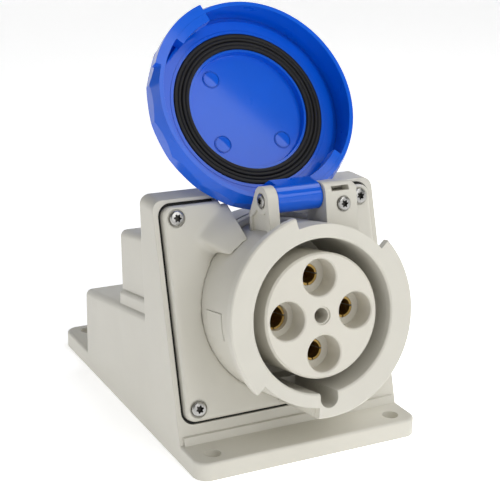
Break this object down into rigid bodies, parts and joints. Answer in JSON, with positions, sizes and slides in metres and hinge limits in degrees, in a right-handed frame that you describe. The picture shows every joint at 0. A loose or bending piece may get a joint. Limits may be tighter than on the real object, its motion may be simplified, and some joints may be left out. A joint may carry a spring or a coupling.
{
  "type": "pin and sleeve receptacle",
  "caption": "Surface mounting angled pin and sleeve power receptacle with a hinged bayonet lid shown open.",
  "frame": {"origin": "centre of the rectangle of fixing holes, on the wall face of the base housing", "axes": "+Z away from the wall face, +Y towards the rear end with the cable entry, +X to the right of a user who faces the socket"},
  "size_m": [0.12, 0.2025, 0.2055],
  "materials": {
    "housing_grey": "satin",
    "insert_grey": "matte",
    "lid_blue": "satin",
    "seal_black": "matte",
    "contact_brass": "satin",
    "screw_steel": "polished"
  },
  "bodies": {
    "base": {"base_housing": "housing_grey", "housing_seal": "seal_black", "socket_cover": "housing_grey", "socket_shroud": "housing_grey", "bayonet_cams": "housing_grey", "hinge_ear": "housing_grey", "hinge_block": "housing_grey", "cover_screws": "screw_steel", "hinge_pin": "screw_steel", "hinge_lock_screw": "screw_steel", "contact_insert": "insert_grey", "insert_rear": "insert_grey", "insert_flange": "insert_grey", "line_contact_1": "contact_brass", "line_contact_2": "contact_brass", "line_contact_3": "contact_brass", "earth_contact": "contact_brass", "pilot_contact": "contact_brass", "contact_carrier": "insert_grey", "terminal_screws": "screw_steel", "insert_screws": "screw_steel", "carrier_screws": "screw_steel", "cable_entry_plug": "housing_grey", "entry_seal": "seal_black"},
    "lid": {"lid_body": "lid_blue", "lid_gasket": "seal_black", "lid_back": "lid_blue"},
    "ring": {"bayonet_ring": "lid_blue", "ring_lip": "lid_blue", "ring_lugs": "lid_blue"}
  },
  "joints": [
    {"name": "lid_hinge", "type": "hinge", "parent": "base", "child": "lid", "pos_m": [0, -0.06815, 0.12281], "axis": [1, 0, 0], "range_deg": [0, 201.4]},
    {"name": "ring_turn", "type": "hinge", "parent": "lid", "child": "ring", "pos_m": [0, -0.02122, 0.15643], "axis": [0, -0.8453, 0.5344], "range_deg": [0, 40]}
  ]
}
